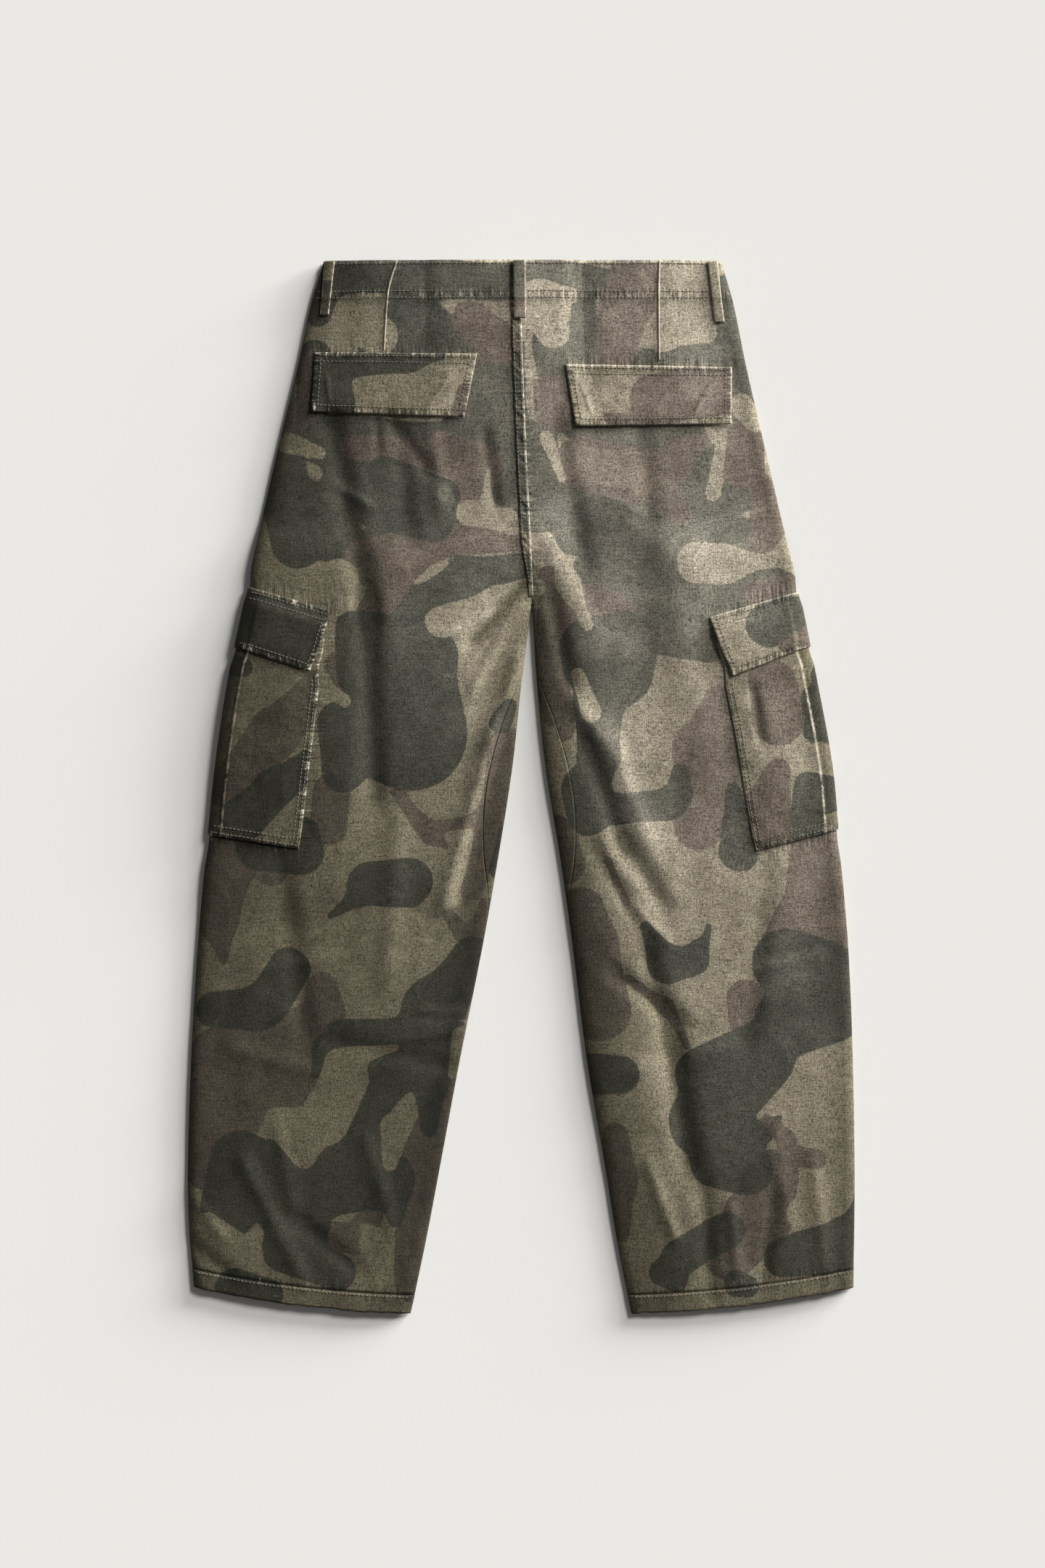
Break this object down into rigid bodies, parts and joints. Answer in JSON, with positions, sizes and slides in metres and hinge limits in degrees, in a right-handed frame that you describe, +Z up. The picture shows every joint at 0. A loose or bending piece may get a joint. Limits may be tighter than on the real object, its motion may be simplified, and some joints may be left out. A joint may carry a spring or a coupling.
{
  "type": "cargo pants",
  "caption": "Loose cargo pants laid flat with the back up, with wrapped cargo pockets, back pocket flaps and belt loops.",
  "frame": {"origin": "on the surface, under the middle of the laid-out garment", "axes": "+Y towards the waist, +X towards the wearer's right, +Z up out of the back of the garment"},
  "size_m": [0.6609, 1.042, 0.0178],
  "materials": {
    "canvas_back": "washed cotton canvas, camouflage print",
    "canvas_front": "washed cotton canvas, camouflage print",
    "canvas_pocket": "washed cotton canvas, worn edges",
    "canvas_trim": "washed cotton canvas, worn edges",
    "button": "matt"
  },
  "bodies": {
    "root": {"back_panel_left": "canvas_back", "back_panel_right": "canvas_back", "front_panel_left": "canvas_front", "front_panel_right": "canvas_front", "hem_left": "canvas_back", "hem_right": "canvas_back", "cargo_bag_left": "canvas_pocket", "cargo_bag_right": "canvas_pocket", "cargo_flap_left": "canvas_pocket", "cargo_flap_right": "canvas_pocket", "back_flap_left": "canvas_pocket", "back_flap_right": "canvas_pocket", "loop_back_left": "canvas_trim", "loop_back_centre": "canvas_trim", "loop_back_right": "canvas_trim", "loop_front_left": "canvas_trim", "loop_front_right": "canvas_trim", "seat_seam": "canvas_trim", "fly_lap": "canvas_front", "waist_button": "button"}
  },
  "joints": []
}
